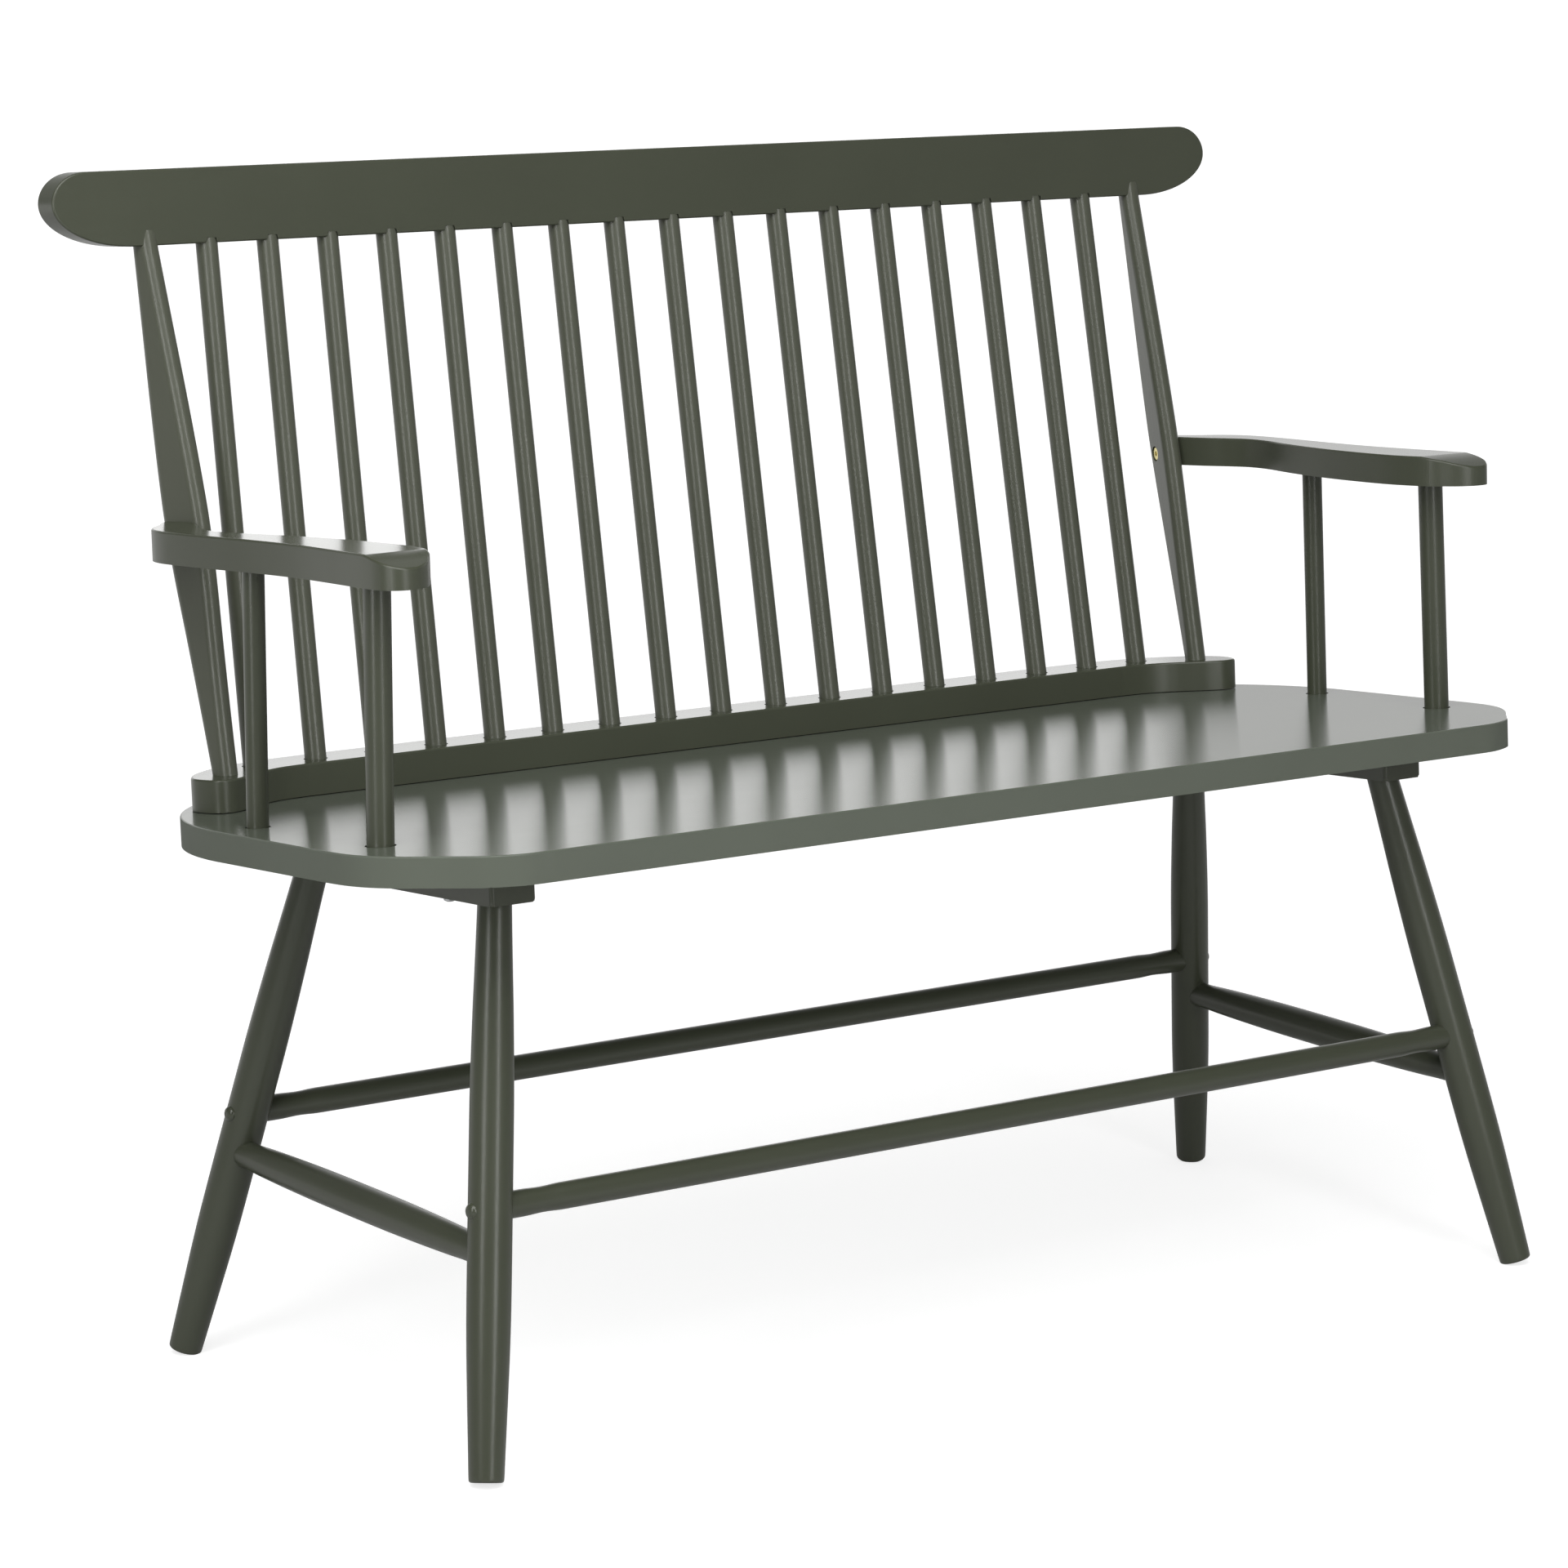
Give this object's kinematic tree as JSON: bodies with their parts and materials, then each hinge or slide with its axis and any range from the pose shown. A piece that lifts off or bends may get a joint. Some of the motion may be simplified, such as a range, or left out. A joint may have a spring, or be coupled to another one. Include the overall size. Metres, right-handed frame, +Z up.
{
  "type": "deacons bench",
  "caption": "Long painted wooden bench with a spindle back, curved arms on turned posts, splayed turned legs and stretchers.",
  "frame": {"origin": "on the floor, under the middle of the bench's footprint", "axes": "+X to the right seen from the front, +Y to the back, +Z up; the seated person looks along -Y"},
  "size_m": [1.1112, 0.5184, 0.8987],
  "materials": {
    "painted_wood": "satin grey-green paint over smooth wood",
    "brass": "bright brass-coloured socket head",
    "painted_steel": "satin paint in the colour of the wood",
    "zinc_steel": "plain zinc-plated steel, hidden in use"
  },
  "bodies": {
    "root": {"back_spindle_01": "painted_wood", "back_spindle_02": "painted_wood", "back_spindle_03": "painted_wood", "back_spindle_04": "painted_wood", "back_spindle_05": "painted_wood", "back_spindle_06": "painted_wood", "back_spindle_07": "painted_wood", "back_spindle_08": "painted_wood", "back_spindle_09": "painted_wood", "back_spindle_10": "painted_wood", "back_spindle_11": "painted_wood", "back_spindle_12": "painted_wood", "back_spindle_13": "painted_wood", "back_spindle_14": "painted_wood", "back_spindle_15": "painted_wood", "back_spindle_16": "painted_wood", "back_spindle_17": "painted_wood", "crest_rail": "painted_wood", "front_stretcher": "painted_wood", "left_arm": "painted_wood", "left_arm_bolt": "brass", "left_back_post": "painted_wood", "left_cleat": "painted_wood", "left_front_arm_post": "painted_wood", "left_front_cleat_screw": "zinc_steel", "left_front_leg": "painted_wood", "left_front_leg_stud": "zinc_steel", "left_front_stretcher_bolt": "painted_steel", "left_rear_arm_post": "painted_wood", "left_rear_cleat_screw": "zinc_steel", "left_rear_leg": "painted_wood", "left_rear_leg_stud": "zinc_steel", "left_rear_stretcher_bolt": "painted_steel", "left_side_stretcher": "painted_wood", "lower_back_rail": "painted_wood", "rail_screw_1": "zinc_steel", "rail_screw_2": "zinc_steel", "rail_screw_3": "zinc_steel", "rail_screw_4": "zinc_steel", "rear_stretcher": "painted_wood", "right_arm": "painted_wood", "right_arm_bolt": "brass", "right_back_post": "painted_wood", "right_cleat": "painted_wood", "right_front_arm_post": "painted_wood", "right_front_cleat_screw": "zinc_steel", "right_front_leg": "painted_wood", "right_front_leg_stud": "zinc_steel", "right_front_stretcher_bolt": "painted_steel", "right_rear_arm_post": "painted_wood", "right_rear_cleat_screw": "zinc_steel", "right_rear_leg": "painted_wood", "right_rear_leg_stud": "zinc_steel", "right_rear_stretcher_bolt": "painted_steel", "right_side_stretcher": "painted_wood", "seat_plank": "painted_wood"}
  },
  "joints": []
}
